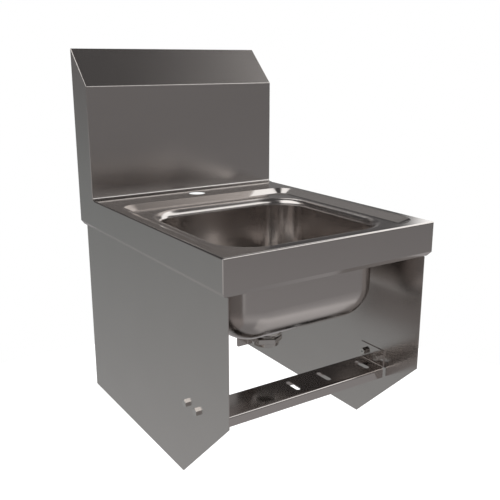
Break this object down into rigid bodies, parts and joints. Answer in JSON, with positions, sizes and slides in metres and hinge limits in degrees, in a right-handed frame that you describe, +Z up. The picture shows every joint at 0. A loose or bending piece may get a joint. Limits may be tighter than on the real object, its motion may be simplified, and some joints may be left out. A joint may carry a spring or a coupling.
{
  "type": "hand wash sink",
  "caption": "Wall-hung stainless steel hand wash sink with a pressed bowl, tall boxed splashback, side skirts, a slotted cross rail and a basket strainer drain.",
  "frame": {"origin": "middle of the wall bracket's screw line, on the wall plane", "axes": "+Z up, +Y into the wall, -Y the front, +X to the right seen from the front"},
  "size_m": [0.432, 0.581, 0.7285],
  "materials": {
    "satin_sheet": "satin stainless sheet",
    "bright_fastener": "bright stainless fasteners",
    "polished_drain": "polished drain fittings",
    "zinc_bracket": "galvanised wall bracket",
    "black_rubber": "black rubber gasket",
    "pale_plastic": "pale plastic washers"
  },
  "bodies": {
    "sink": {"deck": "satin_sheet", "faucet_ledge": "satin_sheet", "apron_front": "satin_sheet", "apron_left": "satin_sheet", "apron_right": "satin_sheet", "bowl_rim": "satin_sheet", "bowl": "satin_sheet", "bowl_pan": "satin_sheet", "splashback": "satin_sheet", "end_plate_left": "satin_sheet", "end_plate_right": "satin_sheet", "skirt_left": "satin_sheet", "skirt_right": "satin_sheet", "cross_rail": "satin_sheet", "rail_bolts_left": "bright_fastener", "rail_bolts_right": "bright_fastener", "rail_nuts_left": "bright_fastener", "rail_nuts_right": "bright_fastener", "wall_bracket": "zinc_bracket", "drain_body": "polished_drain", "drain_outlet": "polished_drain", "drain_gasket": "black_rubber", "friction_washer": "pale_plastic", "lock_nut": "polished_drain", "coupling_nut": "polished_drain", "slip_washer": "pale_plastic"},
    "strainer": {"strainer_basket": "polished_drain", "strainer_knob": "polished_drain"}
  },
  "joints": [
    {"name": "strainer_lift", "type": "slide", "parent": "sink", "child": "strainer", "axis": [0, 0, 1], "range_m": [0, 0.12]}
  ]
}
